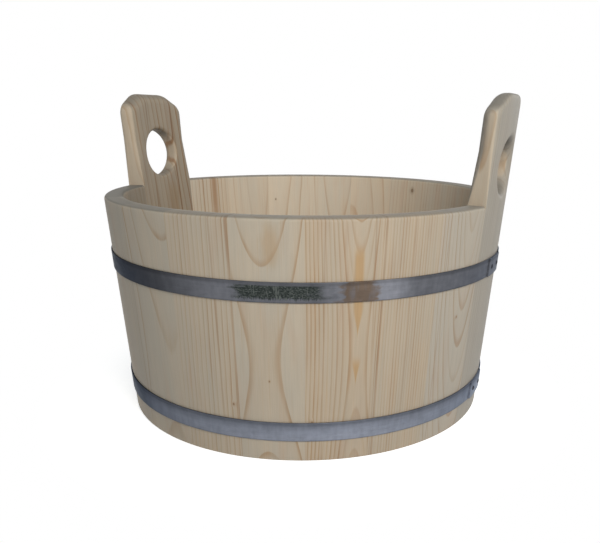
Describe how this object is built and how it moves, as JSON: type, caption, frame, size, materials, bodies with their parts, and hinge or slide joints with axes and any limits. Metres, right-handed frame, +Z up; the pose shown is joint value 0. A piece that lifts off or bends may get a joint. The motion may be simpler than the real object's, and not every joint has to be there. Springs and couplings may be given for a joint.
{
  "type": "sauna bucket",
  "caption": "Low coopered wooden tub, wider at the rim than at the base, with opposite raised handle staves, each with a round hand hole, held by flat riveted steel hoops.",
  "frame": {"origin": "centre of the base, on the plane of the staves' lower ends", "axes": "+Z up along the tub's axis, X through the middles of both handle staves, and the hoops are riveted on the +X side"},
  "size_m": [0.417, 0.3994, 0.3065],
  "materials": {
    "stave_wood": "planed pale softwood, unfinished",
    "handle_wood": "planed pale softwood with rounded edges, unfinished",
    "bottom_wood": "planed pale softwood, unfinished",
    "hoop_steel": "galvanised, dull with a faint spangle",
    "rivet_steel": "plain steel, dull"
  },
  "bodies": {
    "root": {"stave_01": "stave_wood", "stave_02": "stave_wood", "stave_03": "stave_wood", "stave_04": "stave_wood", "stave_05": "stave_wood", "stave_06": "stave_wood", "stave_07": "stave_wood", "stave_08": "stave_wood", "stave_09": "stave_wood", "stave_10": "stave_wood", "stave_11": "stave_wood", "stave_12": "stave_wood", "stave_13": "stave_wood", "stave_14": "stave_wood", "stave_15": "stave_wood", "stave_16": "stave_wood", "stave_17": "stave_wood", "stave_18": "stave_wood", "handle_stave_right": "handle_wood", "handle_stave_left": "handle_wood", "bottom_board_1": "bottom_wood", "bottom_board_2": "bottom_wood", "bottom_board_3": "bottom_wood", "bottom_board_4": "bottom_wood", "hoop_lower": "hoop_steel", "hoop_upper": "hoop_steel", "hoop_rivets": "rivet_steel"}
  },
  "joints": []
}
